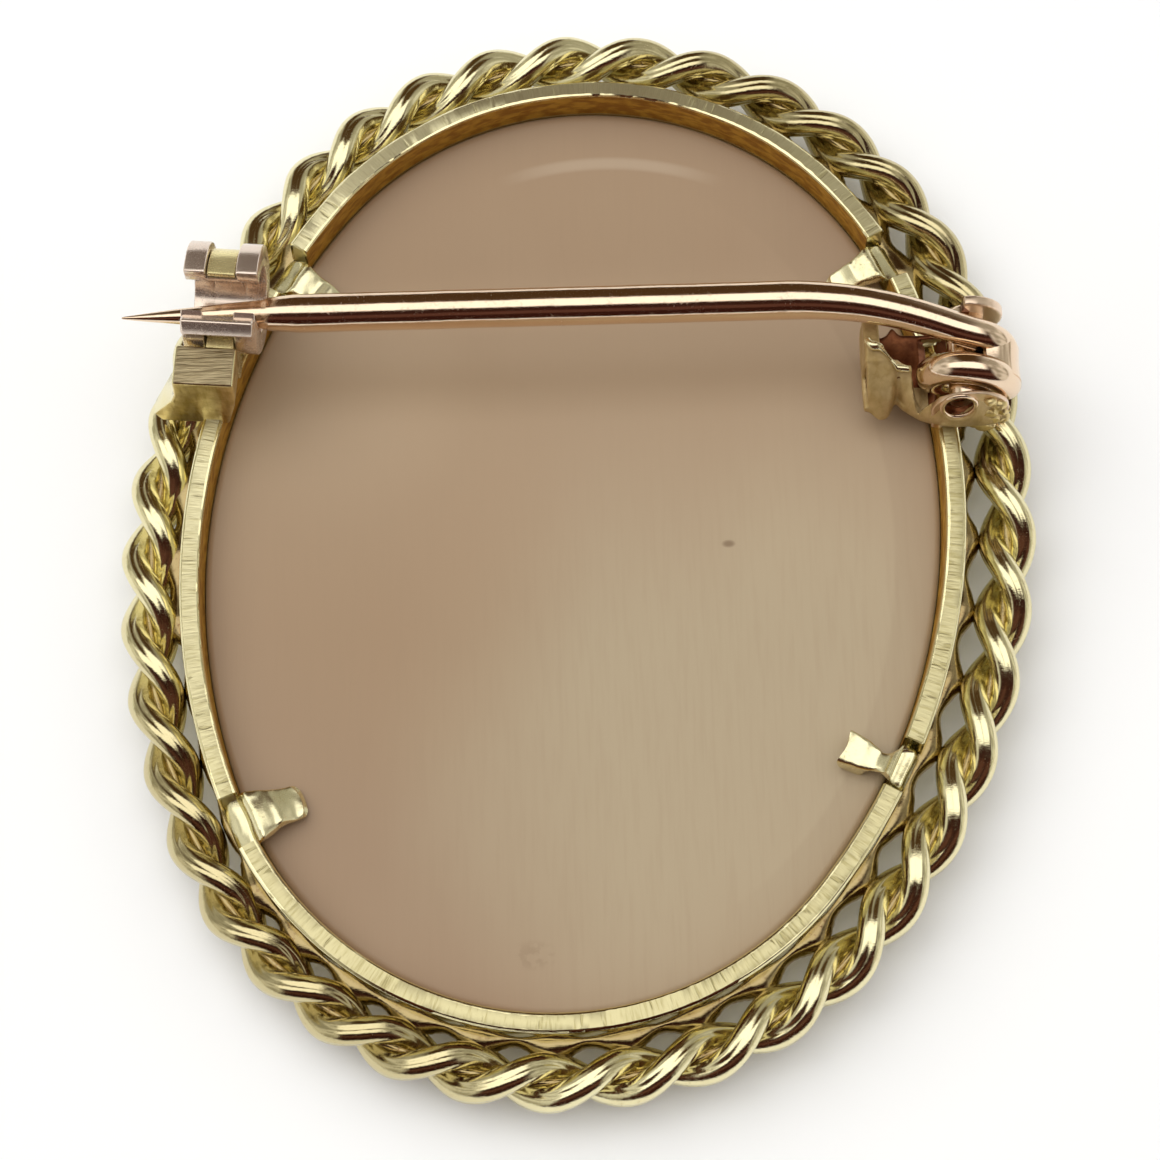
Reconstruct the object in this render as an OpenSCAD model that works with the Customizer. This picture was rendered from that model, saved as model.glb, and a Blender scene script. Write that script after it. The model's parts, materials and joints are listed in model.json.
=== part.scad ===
/* [Oval] */
// Half width of the oval setting, to the outside of its wall
half_w = 13.6; // [13.3:0.1:14]
// Half height of the oval setting, to the outside of its wall
half_h = 17.5; // [17:0.1:18.5]
// Radius of the oval's two ends, to the outside of the wall
end_r = 12.1; // [11.8:0.1:12.3]
// Turn of the oval against the line of the pin
oval_turn = -8.5; // [-10:0.5:-7]

/* [Setting] */
// Thickness of the wall at its filed back rim
wall_t = 0.72; // [0.6:0.02:0.8]
// Height of the back rim above the front edge
rim_z = 3.7; // [3.6:0.1:4]
// How far the front lip reaches in from the outside of the wall
lip_in = 1.3; // [1.2:0.05:1.5]
// Width of a claw
claw_w = 1.35; // [1.2:0.05:1.5]
// Width of the saw cut on each side of a claw
claw_slit = 0.22; // [0.18:0.02:0.26]

/* [Cameo] */
// Height of the shell's back above the front edge, at the wall
back_z = 2.45; // [2.35:0.05:2.5]
// Depth of the hollow in the shell's back
hollow = 0.35; // [0.2:0.05:0.45]
// Height of the carving
relief = 0.5; // [0.4:0.05:0.5]
// Radius of the carved rose
rose_r = 5.2; // [4.4:0.1:5.6]

/* [Rope] */
// Diameter of one strand of the rope
strand_d = 1; // [0.94:0.02:1]
// Distance from the setting's wall to the rope's middle
rope_off = 1.4; // [1.4:0.05:1.55]
// Height of the rope's middle above the front edge
rope_z = 2; // [1.8:0.05:2.05]
// Full turns of a strand round the rope
rope_turns = 19.9; // [18.9:0.5:20.9]
// Unevenness of the hand twist, in degrees
twist_drift = 25; // [0:5:30]

/* [Pin] */
// Diameter of the pin's straight wire
pin_d = 1.36; // [1.28:0.02:1.4]
// Diameter of the pin where it enters the catch
neck_d = 1; // [0.96:0.02:1.02]
// Diameter of the coil's wire
coil_d = 1.1; // [1.04:0.02:1.12]
// Distance of the pin from the middle of the oval
pin_y = 7.3; // [7.1:0.1:7.5]
// Height of the pin's middle above the front edge
pin_z = 6.4; // [6.4:0.05:6.6]
// Mean radius of the coil
coil_r = 1.3; // [1.28:0.02:1.34]
// Distance between the coil's turns
coil_step = 1.3; // [1.25:0.05:1.3]

/* [Catch] */
// Radius of the rotor's two flanges
flange_r = 1.9; // [1.85:0.01:1.95]
// Turn of the catch against the line of the pin
catch_yaw = -5; // [-6:0.5:-4]
// Radius of the rotor's bore
bore_r = 1.15; // [1.12:0.01:1.17]

/* [Hidden] */
$fn = 64;
yellow = [0.86, 0.8, 0.5];
rose = [0.8, 0.62, 0.52];
shell = [0.78, 0.68, 0.58];

// Four arcs make the oval: two of end_r at the ends, two of side_r at the sides
side_r = (half_w ^ 2 + half_h ^ 2 - 2 * half_h * end_r) / (2 * (half_w - end_r));
end_c = half_h - end_r;
side_c = side_r - half_w;
join_a = atan2(end_c, side_c);

// The rope's middle is the origin, and the setting sits a little to its left
setting_at = [-0.19, -0.05];

function turned(p, a) = [p.x * cos(a) - p.y * sin(a), p.x * sin(a) + p.y * cos(a)];
function wrapped(a) = a - 360 * floor((a + 180) / 360);

// Point of the oval whose outward direction is a, moved outward by off
function oval_pt(a, off) = let (q = wrapped(a), c = [cos(a), sin(a)])
    abs(q) <= join_a ? [-side_c, 0] + (side_r + off) * c
    : abs(q) >= 180 - join_a ? [side_c, 0] + (side_r + off) * c
    : [0, sign(q) * end_c] + (end_r + off) * c;
function rim_pt(a, off) = turned(oval_pt(a, off), oval_turn) + setting_at;

// Where the wall's outside crosses the line y, between a direction below it and one above it
function rim_x(y, lo, hi, n = 20) = n == 0 ? rim_pt((lo + hi) / 2, 0).x
    : let (m = (lo + hi) / 2) rim_pt(m, 0).y > y ? rim_x(y, lo, m, n - 1) : rim_x(y, m, hi, n - 1);

gap = 0.05;
cameo_off = -wall_t - gap;
seat_z = 0.95;

hinge_y = pin_y - 1.4;
hinge_x = rim_x(hinge_y, 0, 80) + 0.62;
hinge_z = pin_z - coil_r;
rivet_r = coil_r - coil_d / 2 - 0.07;
ear_r = coil_r + 0.05;
coil_end = hinge_y - coil_step * 1.13;
ear_lo = [coil_end - coil_d / 2 - 0.45, coil_end - coil_d / 2 - 0.09];
ear_hi = [hinge_y + 0.8, hinge_y + 1.4];
box_x = hinge_x - 3.55;
box_z = rim_z - 0.1;

catch_at = [rim_x(pin_y + 0.6, 180, 100) - 0.1, pin_y + 0.6, pin_z + 0.15];
tube_r = bore_r + 0.22;
ring_in = tube_r + gap;
ring_r = ring_in + 0.26;
body_w = 0.95;
rotor_w = 2.55;
slot_w = 1.24;
slot_y = -0.52;
tip_x = catch_at.x - 3.62;
taper_x = catch_at.x + 1.3;
neck_l = 1.2;
bend_x = hinge_x - 4.4;

// Claws: direction on the oval, reach in from the wall's outside, notch in the tip
claws = [[211.5, 2.7, 0], [342, 2.4, 1], [157, 2.6, 0], [33, 2.6, 0]];
// Directions of the solder joints between wall and rope
joints = [12, 208, 236, 254, 286, 318, 340, 355, 62, 120, 186];

module at_setting() translate(setting_at) rotate([0, 0, oval_turn]) children();
module at_rim(a) translate(setting_at) rotate([0, 0, oval_turn]) translate(oval_pt(a, 0)) rotate([0, 0, a]) children();

// Sweeps a flat shape round the oval; its x is the distance out from the wall's outside
module round_oval() at_setting() for (s = [0, 180]) rotate([0, 0, s]) {
    translate([0, end_c, 0]) rotate_extrude(angle = 180 - 2 * join_a, start = join_a)
        translate([end_r, 0]) children();
    translate([-side_c, 0, 0]) rotate_extrude(angle = 2 * join_a, start = -join_a)
        translate([side_r, 0]) children();
}

// Section of the wall with its front lip
module wall_section() polygon([
    [0, 0.25], [0, rim_z], [-wall_t, rim_z], [-wall_t, seat_z],
    [-lip_in, seat_z - 0.25], [-lip_in, seat_z - 0.4], [-lip_in + 0.5, 0.1], [-0.5, 0], [-0.2, 0]]);

module claw_cut() translate([-wall_t - 0.2, -claw_w / 2 - claw_slit, back_z - 0.35])
    cube([wall_t + 0.4, claw_w + 2 * claw_slit, rim_z]);

// A strip of the wall bent in over the shell
module claw(reach, notched) difference() {
    rotate([90, 0, 0]) linear_extrude(claw_w, center = true) polygon([
        [-0.02, back_z - 0.6], [-0.02, rim_z - 0.75], [-0.35, rim_z - 0.3], [-0.95, rim_z - 0.22],
        [-reach + 0.5, back_z + 0.55], [-reach, back_z + 0.5], [-reach, back_z + 0.08],
        [-reach + 0.6, back_z + 0.1], [-0.95, rim_z - 0.72], [-0.62, rim_z - 0.9],
        [-0.5, rim_z - 1.15], [-0.5, back_z - 0.6]]);
    if (notched == 1) translate([-reach - 0.25, 0, 0]) rotate([0, 0, 45]) translate([-0.35, -0.35, 0])
        cube([0.7, 0.7, rim_z]);
}

// Peg of solder from the wall almost to the rope, whose middle is the origin and not the wall's
module solder_joint(a) translate([-wall_t / 2, 0, rope_z]) rotate([0, 90, 0])
    cylinder(r = 0.5, h = wall_t / 2 + rope_off - strand_d / 2 - coil_off - gap
        - setting_at * [cos(a + oval_turn), sin(a + oval_turn)]);

// Floor, end wall and flared cheek of the pin's joint box
module hinge_box() {
    cheek_y = ear_lo[0] + 0.1;
    translate([box_x, cheek_y, box_z]) cube([2.9, ear_hi[0] - cheek_y + 0.2, 0.35]);
    translate([box_x, hinge_y - 0.55, box_z]) cube([0.55, 1.7, pin_z - pin_d / 2 - 0.35 - box_z]);
    translate([box_x, cheek_y, box_z]) rotate([50, 0, 0]) translate([0, 0, -0.45]) linear_extrude(0.45)
        polygon([[0, 0.35], [0.12, 0.1], [0.4, 0], [0.8, 0.12], [1.3, 0.12], [1.75, 0], [2.2, 0],
            [2.2, 1.5], [1.85, 1.85], [1.3, 1.9], [0.85, 2.3], [0.6, 2.85], [0, 2.9]]);
}

// Room for the coil, cut out of the wall and the joint box
module coil_room() translate([hinge_x, ear_hi[0], hinge_z]) rotate([90, 0, 0])
    cylinder(r = coil_r + coil_d / 2 + 0.12, h = ear_hi[0] - ear_lo[1]);

// Two ears, the rivet that the coil turns on, and a blob of solder
module hinge_ears() {
    for (e = [ear_lo, ear_hi]) translate([hinge_x, e[1], 0]) rotate([90, 0, 0])
        linear_extrude(e[1] - e[0]) {
            translate([0, hinge_z]) circle(r = ear_r);
            polygon([[-2.9, box_z], [-0.4, box_z], [0.5, hinge_z - ear_r * 0.92],
                [-0.6, hinge_z + ear_r * 0.88], [-1.75, pin_z - pin_d / 2 - 0.3], [-2.9, box_z + 0.9]]);
        }
    translate([hinge_x, ear_hi[1] - 0.1, hinge_z]) rotate([90, 0, 0])
        cylinder(r = rivet_r, h = ear_hi[1] - ear_lo[0] - 0.2);
    translate([hinge_x + 0.5, ear_lo[0] - 0.05, hinge_z - 1.05]) sphere(r = 0.45);
}

// Ring, web, filed block and flared foot of the catch
module catch_body() translate(catch_at) rotate([0, 0, catch_yaw]) {
    block_y = -flange_r - 0.1;
    difference() {
        union() {
            rotate([0, 90, 0]) cylinder(r = ring_r, h = body_w, center = true);
            translate([-body_w / 2, block_y - 0.1, -2.3]) cube([body_w, 1.2, 2.5]);
            translate([-body_w / 2, -1, rim_z - 0.2 - catch_at.z]) cube([body_w, 2, 1.7]);
        }
        rotate([0, 90, 0]) cylinder(r = ring_in, h = body_w + 1, center = true);
        translate([-body_w, slot_y - slot_w / 2 - 0.05, 0]) cube([2 * body_w, slot_w + 0.1, 3]);
    }
    translate([0, block_y, 0]) rotate([90, 0, 0]) linear_extrude(1.45) polygon([
        [-1.5, 0.4], [0.6, 0.4], [0.55, -0.9], [0.1, rim_z - 0.35 - catch_at.z],
        [-2.3, rim_z - 0.35 - catch_at.z], [-2.35, rim_z + 0.25 - catch_at.z], [-1.7, -1.4]]);
}

module setting() color(yellow) {
    difference() {
        union() {
            round_oval() wall_section();
            hinge_box();
        }
        for (c = claws) at_rim(c[0]) claw_cut();
        coil_room();
    }
    for (c = claws) at_rim(c[0]) claw(c[1], c[2]);
    for (a = joints) at_rim(a) solder_joint(a);
    hinge_ears();
    catch_body();
}

// Carving, as a height from 0 to 1 at the point [x, y] of the plaque
leaves = [[5.2, 4.6, 42, 3.4], [-5.2, 4.6, 138, 3.4], [6.6, -2.2, -16, 2.8], [-6.6, -2.2, 196, 2.8],
    [2.6, -9.2, -62, 3.2], [-2.6, -9.2, 242, 3.2], [0, 9.4, 90, 3.6], [0, -8.2, -90, 2.6]];
function leaf_h(p, l) = let (q = turned(p - [l[0], l[1]], -l[2]), u = q.x / l[3], v = q.y / (l[3] * 0.42))
    let (w = 1 - u * u - v * v * (1.2 + 0.6 * u)) w <= 0 || abs(u) > 1 ? 0
    : sqrt(w) * (0.62 - 0.2 * exp(-v * v * 30) + 0.06 * cos(u * 900 + abs(v) * 300));
function rose_h(p) = let (r = norm(p) / rose_r, t = atan2(p.y, p.x), edge = 1 + 0.07 * cos(5 * t + 30))
    r >= edge ? 0 : let (s = r / edge, k = s * 3.6 - t / 360, f = k - floor(k))
    sqrt(1 - s ^ 4) * (0.8 - 0.12 * s + 0.24 * (1 - s) * f + 0.2 * (f - 0.5) * min(1, 3 * s));
function carving(p) = max(rose_h(p), max([for (l = leaves) leaf_h(p, l)]));

module cameo() color(shell) at_setting() {
    n = 72;
    rings = [for (i = [0.5 : 24.5]) i / 25];
    edge = [for (j = [0 : n - 1]) oval_pt(j * 360 / n, cameo_off)];
    front_z = function (s) seat_z + gap - 0.32 * (1 - s * s);
    front = [for (s = rings) for (e = edge) [e.x * s, e.y * s, front_z(s) - relief * carving(e * s)]];
    front_rim = [for (e = edge) [e.x, e.y, front_z(1)]];
    back_s = [1, 0.985, 0.9, 0.75, 0.5, 0.25];
    back_d = [0.15, 0, 0.15, 0.4, 0.75, 0.95];
    back = [for (i = [0 : 5]) for (e = edge) [e.x * back_s[i], e.y * back_s[i],
        back_z - (i < 1 ? 0.12 : hollow * back_d[i])]];
    rows = len(rings) + 1 + len(back_s);
    points = concat([[0, 0, front_z(0) - relief * 0.86]], front, front_rim, back, [[0, 0, back_z - hollow]]);
    last = len(points) - 1;
    faces = concat(
        [for (j = [0 : n - 1]) [0, 1 + j, 1 + (j + 1) % n]],
        [for (i = [0 : rows - 2]) for (j = [0 : n - 1]) let (a = 1 + i * n + j, b = 1 + i * n + (j + 1) % n)
            each [[a, a + n, b], [b, a + n, b + n]]],
        [for (j = [0 : n - 1]) let (a = 1 + (rows - 1) * n) [a + j, last, a + (j + 1) % n]]);
    polyhedron(points, faces);
}

// The rope's middle line: outward direction of the oval at the distance s along it
side_l = 2 * join_a * PI / 180 * (side_r + rope_off);
end_l = (180 - 2 * join_a) * PI / 180 * (end_r + rope_off);
rope_l = 2 * (side_l + end_l);
function rope_dir(s) = let (q = s - rope_l * floor(s / rope_l), h = q % (side_l + end_l))
    (q >= side_l + end_l ? 180 : 0) - join_a
    + (h < side_l ? h / side_l * 2 * join_a : 2 * join_a + (h - side_l) / end_l * (180 - 2 * join_a));
rope_start = 2 * side_l + end_l * 1.54;
rope_gap = 0.55;
coil_off = strand_d * 0.53;

// Ring of points round a strand's middle line; t runs along the rope, u is the strand's place in the twist
function twist(s, phase) = phase + s / rope_l * rope_turns * 360 + twist_drift * cos(s / rope_l * 360);
function strand_mid(s, phase) = let (a = rope_dir(s + rope_start), w = twist(s, phase))
    let (p = turned(oval_pt(a, rope_off + coil_off * cos(w)), oval_turn)) [p.x, p.y, rope_z + coil_off * sin(w)];

function unit(v) = v / norm(v);
// Points of a tube with the given sides and radius along a line of points
function tube_rings(path, radii, sides) = [for (i = [0 : len(path) - 1])
    let (d = unit(path[min(i + 1, len(path) - 1)] - path[max(i - 1, 0)]))
    let (side = unit(cross(d, abs(d.z) > 0.9 ? [0, 1, 0] : [0, 0, 1])), up = cross(d, side))
    for (j = [0 : sides - 1]) path[i] + radii[i] * (cos(j * 360 / sides) * side + sin(j * 360 / sides) * up)];
function tube_faces(n, sides) = concat(
    [[for (j = [0 : sides - 1]) j]],
    [for (i = [0 : n - 2]) for (j = [0 : sides - 1])
        let (a = i * sides + j, b = i * sides + (j + 1) % sides)
        each [[a, a + sides, b], [b, a + sides, b + sides]]],
    [[for (j = [sides - 1 : -1 : 0]) (n - 1) * sides + j]]);

module strand(phase) color(yellow) {
    n = round(rope_turns * 14);
    path = [for (i = [0 : n]) strand_mid(rope_gap / 2 + i / n * (rope_l - rope_gap), phase)];
    polyhedron(tube_rings(path, [for (p = path) strand_d / 2], 8), tube_faces(n + 1, 8));
}

module rope_strand_a() strand(135);
module rope_strand_b() strand(315);

// Middle line of the bend and the coil, from the straight wire to the coil's end
bend_n = 12;
turn_n = 24;
bend_path = [for (i = [0 : bend_n]) let (t = i / bend_n, k = t * t * (3 - 2 * t))
    [bend_x + t * (hinge_x - bend_x), pin_y - (pin_y - hinge_y) * k, pin_z]];
coil_path = [for (i = [1 : turn_n * 1.25]) let (a = 90 - i * 360 / turn_n)
    [hinge_x + coil_r * cos(a), max(hinge_y - coil_step * i / turn_n, coil_end), hinge_z + coil_r * sin(a)]];

module pin_stem() color(rose) {
    path = concat(bend_path, coil_path);
    radii = [for (i = [0 : len(path) - 1]) (pin_d + (coil_d - pin_d) * min(1, i / bend_n)) / 2];
    polyhedron(coil_rings(path, radii, 12), tube_faces(len(path), 12));
    translate([tip_x, pin_y, pin_z]) rotate([0, 90, 0]) rotate_extrude() polygon([
        [0, 0], [0.03, 0], [neck_d * 0.26, 1.9], [neck_d / 2, taper_x - tip_x],
        [pin_d / 2, taper_x - tip_x + neck_l], [pin_d / 2, bend_x - tip_x + 0.1], [0, bend_x - tip_x + 0.1]]);
}

// Rings round the coil's line, set square to the rivet so that they don't twist
function coil_rings(path, radii, sides) = [for (i = [0 : len(path) - 1])
    let (d = unit(path[min(i + 1, len(path) - 1)] - path[max(i - 1, 0)]))
    let (up = unit(cross(d, [0, 1, 0])), side = cross(up, d))
    for (j = [0 : sides - 1]) path[i] + radii[i] * (cos(j * 360 / sides) * side + sin(j * 360 / sides) * up)];

module catch_rotor() color(rose) translate(catch_at) rotate([0, 0, catch_yaw]) {
    difference() {
        rotate([0, 90, 0]) union() {
            cylinder(r = tube_r, h = rotor_w, center = true);
            for (s = [-1, 1]) translate([0, 0, s * (rotor_w / 2 + body_w / 2 + gap) / 2])
                cylinder(r = flange_r, h = rotor_w / 2 - body_w / 2 - gap, center = true);
        }
        rotate([0, 90, 0]) cylinder(r = bore_r, h = rotor_w + 1, center = true);
        translate([-rotor_w, slot_y - slot_w / 2, 0]) cube([2 * rotor_w, slot_w, 3]);
    }
    rotate([52, 0, 0]) translate([-rotor_w / 2, -0.22, ring_r + 0.06]) cube([rotor_w, 0.44, 0.5]);
}

setting();
cameo();
rope_strand_a();
rope_strand_b();
pin_stem();
catch_rotor();
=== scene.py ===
import json
import math

import bmesh
import bpy
import numpy as np
from mathutils import Matrix, Vector, noise

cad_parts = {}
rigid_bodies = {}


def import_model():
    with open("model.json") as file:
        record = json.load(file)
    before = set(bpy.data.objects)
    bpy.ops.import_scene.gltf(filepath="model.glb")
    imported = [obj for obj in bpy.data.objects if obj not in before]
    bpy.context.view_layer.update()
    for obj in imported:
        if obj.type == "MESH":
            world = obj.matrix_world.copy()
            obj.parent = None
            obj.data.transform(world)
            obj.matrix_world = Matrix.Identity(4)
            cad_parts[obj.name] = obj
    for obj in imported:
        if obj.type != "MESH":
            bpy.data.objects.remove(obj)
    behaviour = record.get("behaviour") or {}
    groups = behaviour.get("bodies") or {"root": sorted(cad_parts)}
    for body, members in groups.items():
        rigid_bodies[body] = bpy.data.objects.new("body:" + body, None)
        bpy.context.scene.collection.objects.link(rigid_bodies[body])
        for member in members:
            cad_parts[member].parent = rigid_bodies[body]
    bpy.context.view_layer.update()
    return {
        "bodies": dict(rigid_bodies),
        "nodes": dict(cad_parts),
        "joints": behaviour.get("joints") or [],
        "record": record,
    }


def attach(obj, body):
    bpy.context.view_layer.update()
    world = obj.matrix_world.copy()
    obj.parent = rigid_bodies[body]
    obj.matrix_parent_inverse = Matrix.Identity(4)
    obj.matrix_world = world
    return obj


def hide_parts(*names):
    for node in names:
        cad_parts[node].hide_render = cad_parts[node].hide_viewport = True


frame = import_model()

MM = 0.001
scene = bpy.context.scene
noise.seed_set(1)  # noise_vector, for the unevenness of hand work, starts from the clock without it


# Sizes, in millimetres and degrees

# The wall's outside is an oval of four arcs, turned against the pin
HALF_W, HALF_H, END_R, OVAL_TURN = 13.6, 17.5, 12.1, -8.5
SETTING_AT = np.array([-0.19, -0.05])
WALL_T, RIM_Z, LIP_IN, SEAT_Z, CLAW_W, CLAW_SLIT = 0.72, 3.7, 1.3, 0.95, 1.35, 0.22
BACK_Z, HOLLOW, RELIEF, ROSE_R = 2.45, 0.35, 0.5, 5.2
# The rope's two wires turn about each other, and over the last of the round they turn a little more to close
STRAND_D, ROPE_OFF, ROPE_Z, WIRE_A, WIRE_B = 1.0, 1.4, 2.0, 135, 315
ROPE_TURNS, CLOSED_TURNS, CLOSE_FROM, TWIST_DRIFT = 19.9, 20, 0.86, 25.0
PIN_D, NECK_D, COIL_D, PIN_Y, PIN_Z, COIL_R, COIL_STEP = 1.36, 1.0, 1.1, 7.3, 6.4, 1.3, 1.3
COIL_TURNS = 1.25
FLANGE_R, CATCH_YAW, BORE_R, LEVER_TURN, BLOCK_W = 1.9, -5.0, 1.15, 52, 1.45

SIDE_R = (HALF_W ** 2 + HALF_H ** 2 - 2 * HALF_H * END_R) / (2 * (HALF_W - END_R))
END_C = HALF_H - END_R
SIDE_C = SIDE_R - HALF_W
JOIN_A = math.degrees(math.atan2(END_C, SIDE_C))


def turned(x, y, degrees):
    a = math.radians(degrees)
    return x * np.cos(a) - y * np.sin(a), x * np.sin(a) + y * np.cos(a)


def oval(a, off):
    """Point of the wall's outside whose outward direction is a degrees, moved outward by off."""
    q = (np.asarray(a, float) + 180) % 360 - 180
    c, s = np.cos(np.radians(q)), np.sin(np.radians(q))
    right, left = np.abs(q) <= JOIN_A, np.abs(q) >= 180 - JOIN_A
    r = np.where(right | left, SIDE_R, END_R) + off
    x = np.where(right, -SIDE_C, np.where(left, SIDE_C, 0.0)) + r * c
    y = np.where(right | left, 0.0, np.sign(q) * END_C) + r * s
    return x, y


def rim_at(a, off):
    """The same in the brooch's frame, with the direction that points outward there."""
    x, y = turned(*oval(a, off), OVAL_TURN)
    d = np.radians(np.asarray(a, float) + OVAL_TURN)
    return x + SETTING_AT[0], y + SETTING_AT[1], np.cos(d), np.sin(d)


def rim_x(y, lo, hi):
    """Where the wall's outside reaches the height y, between the directions lo and hi."""
    for _ in range(20):
        m = (lo + hi) / 2
        lo, hi = (lo, m) if rim_at(m, 0)[1] > y else (m, hi)
    return float(rim_at((lo + hi) / 2, 0)[0])


HINGE_Y = PIN_Y - 1.4
HINGE_X = rim_x(HINGE_Y, 0, 80) + 0.62
HINGE_Z = PIN_Z - COIL_R
RIVET_R = COIL_R - COIL_D / 2 - 0.07
EAR_R = COIL_R + 0.05
COIL_END = HINGE_Y - COIL_STEP * 1.13
EAR_LO = (COIL_END - COIL_D / 2 - 0.45, COIL_END - COIL_D / 2 - 0.09)
EAR_HI = (HINGE_Y + 0.8, HINGE_Y + 1.4)
BOX_X, BOX_Z = HINGE_X - 3.55, RIM_Z - 0.1
CATCH_AT = np.array([rim_x(PIN_Y + 0.6, 180, 100) - 0.1, PIN_Y + 0.6, PIN_Z + 0.15])
TUBE_R, RING_IN, RING_R = BORE_R + 0.22, BORE_R + 0.27, BORE_R + 0.53
BODY_W, ROTOR_W, SLOT_W, SLOT_Y, BLOCK_Y = 0.95, 2.55, 1.24, -0.52, -FLANGE_R - 0.1
TIP_X, TAPER_X, NECK_L, BEND_X = CATCH_AT[0] - 3.62, CATCH_AT[0] + 1.3, 1.2, HINGE_X - 6.2


# Materials

def input_of(node, key):
    """A node's input, by its place as in _0, or by its name with _ for each space."""
    return node.inputs[int(key[1:])] if key[0] == "_" else node.inputs[key.replace("_", " ")]


class Tree:
    """The nodes of a material or a world."""

    def __init__(self, owner):
        owner.use_nodes = True
        self.owner, self.nodes, self.links = owner, owner.node_tree.nodes, owner.node_tree.links
        self.nodes.clear()

    def node(self, kind, settings=None, out=0, **sockets):
        """Adds a node: its settings first, then the values or links of its sockets."""
        n = self.nodes.new(kind)
        for key, value in (settings or {}).items():
            setattr(n, key, value)
        for key, value in sockets.items():
            s = input_of(n, key)
            if isinstance(value, Socket):
                self.links.new(value.socket, s)
            elif isinstance(value, tuple) and len(value) == 3 and s.type == "RGBA":
                s.default_value = (*value, 1)
            else:
                s.default_value = value
        return Socket(self, n.outputs[out] if n.outputs else None)

    def mix(self, factor, a, b):
        """Colour a where the factor is 0 and b where it is 1."""
        return self.node("ShaderNodeMix", {"data_type": "RGBA"}, out=2, _0=factor, _6=a, _7=b)


class Socket:
    """A node's output. Arithmetic on it adds Math nodes."""

    def __init__(self, tree, socket):
        self.tree, self.socket = tree, socket

    def math(self, operation, a, b=None, clamp=False):
        sockets = {"_0": a} if b is None else {"_0": a, "_1": b}
        return self.tree.node("ShaderNodeMath", {"operation": operation, "use_clamp": clamp}, **sockets)

    def __add__(self, other): return self.math("ADD", self, other)
    def __radd__(self, other): return self.math("ADD", other, self)
    def __sub__(self, other): return self.math("SUBTRACT", self, other)
    def __rsub__(self, other): return self.math("SUBTRACT", other, self)
    def __mul__(self, other): return self.math("MULTIPLY", self, other)
    def __rmul__(self, other): return self.math("MULTIPLY", other, self)
    def __pow__(self, other): return self.math("POWER", self, other)
    def clamp(self): return self.math("ADD", self, 0.0, clamp=True)

    def between(self, low, high):
        """0 at low and 1 at high, smoothly."""
        return self.tree.node("ShaderNodeMapRange", {"interpolation_type": "SMOOTHSTEP"},
                              Value=self, From_Min=low, From_Max=high)


def new_tree(name):
    return Tree(bpy.data.materials.new(name))


def place(tree, scale=(1, 1, 1), turn=0.0):
    """Object coordinates in millimetres, stretched and turned about Z."""
    here = tree.node("ShaderNodeTexCoord", out=3)
    return tree.node("ShaderNodeMapping", Vector=here, Scale=tuple(1 / MM * k for k in scale), Rotation=(0, 0, turn))


def parts_of(tree, where, n=3):
    """The first n of a position's x, y and z."""
    return [tree.node("ShaderNodeSeparateXYZ", _0=where, out=k) for k in range(n)]


def grain(tree, where, scale, detail=2.0, roughness=0.55):
    return tree.node("ShaderNodeTexNoise", Vector=where, Scale=scale, Detail=detail, Roughness=roughness)


def bumped(tree, height, strength, distance):
    return tree.node("ShaderNodeBump", Strength=strength, Distance=distance * MM, Height=height)


def surface(tree, **sockets):
    shader = tree.node("ShaderNodeBsdfPrincipled", **sockets)
    tree.node("ShaderNodeOutputMaterial", Surface=shader)
    return tree.owner


def polished_gold(name, colour, dull, rough=0.1, ripple=0.35, metallic=1.0, tarnish=0.0):
    """Gold buffed by hand, with soft ripples, fine scratches and duller patches.

    A given share of painted shade darkens the colour at the upper right and lower left."""
    t = new_tree(name)
    soft = grain(t, place(t), 0.9, 2.0)
    fine = grain(t, place(t), 9.0, 4.0)
    scratch = grain(t, place(t, (1.2, 14, 14), 0.6), 2.2, 2.0)
    worn = fine.between(0.52, 0.72) * soft.between(0.42, 0.62)
    height = soft * 0.7 + fine * 0.06 + scratch * 0.05
    base = t.mix(worn * 0.55 + soft.between(0.35, 0.7) * 0.2, colour, dull)
    if tarnish:
        x, y = parts_of(t, place(t), 2)
        # Painted shade: the colour is darker towards the upper right and lower left.
        base = t.mix((x * y * (1 / 160)).between(0.05, 0.8) * tarnish, base, (0.40, 0.31, 0.14))
    return surface(
        t, Base_Color=base, Metallic=metallic, Normal=bumped(t, height, ripple, 0.06),
        Roughness=rough + worn * 0.16 + scratch.between(0.45, 0.7) * 0.05)


def filed_gold(name, colour, dull):
    """The rim's top, filed flat across its width. Its UV runs along the rim and across it, in millimetres."""
    t = new_tree(name)
    uv = t.node("ShaderNodeUVMap", {"uv_map": "rim"})

    def marks(along, across, turn, detail=3.0):
        return t.node("ShaderNodeTexNoise", Scale=1.0, Detail=detail, Roughness=0.6, Vector=t.node(
            "ShaderNodeMapping", Vector=uv, Scale=(along, across, 1), Rotation=(0, 0, turn)))

    fine, cross, deep = marks(13.0, 0.9, 0.2), marks(7.0, 0.8, -0.35), marks(3.4, 0.5, 0.1, 2.0)
    broad = t.node("ShaderNodeTexNoise", Scale=0.5, Detail=2.0, Vector=uv)
    rows = broad.between(0.38, 0.6)
    cut = deep.between(0.6, 0.68)
    scored = (fine.between(0.46, 0.66) * rows + cross.between(0.52, 0.7) * (1.0 - rows)) * 0.55 + cut * 0.4
    x, y = parts_of(t, place(t), 2)
    # Painted shade: the rim's colour darkens towards the lower right and is lightest at the upper left.
    tarnish = (x * 0.6 - y).between(-16.0, 8.0) * 0.55
    return surface(
        t, Base_Color=t.mix((scored + tarnish).clamp(), colour, dull), Metallic=1.0,
        Roughness=0.36 + broad * 0.1 + scored * 0.12,
        Normal=bumped(t, fine * 0.5 + cross * 0.5 - cut * 0.6 + broad * 0.5, 0.6, 0.035))


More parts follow.
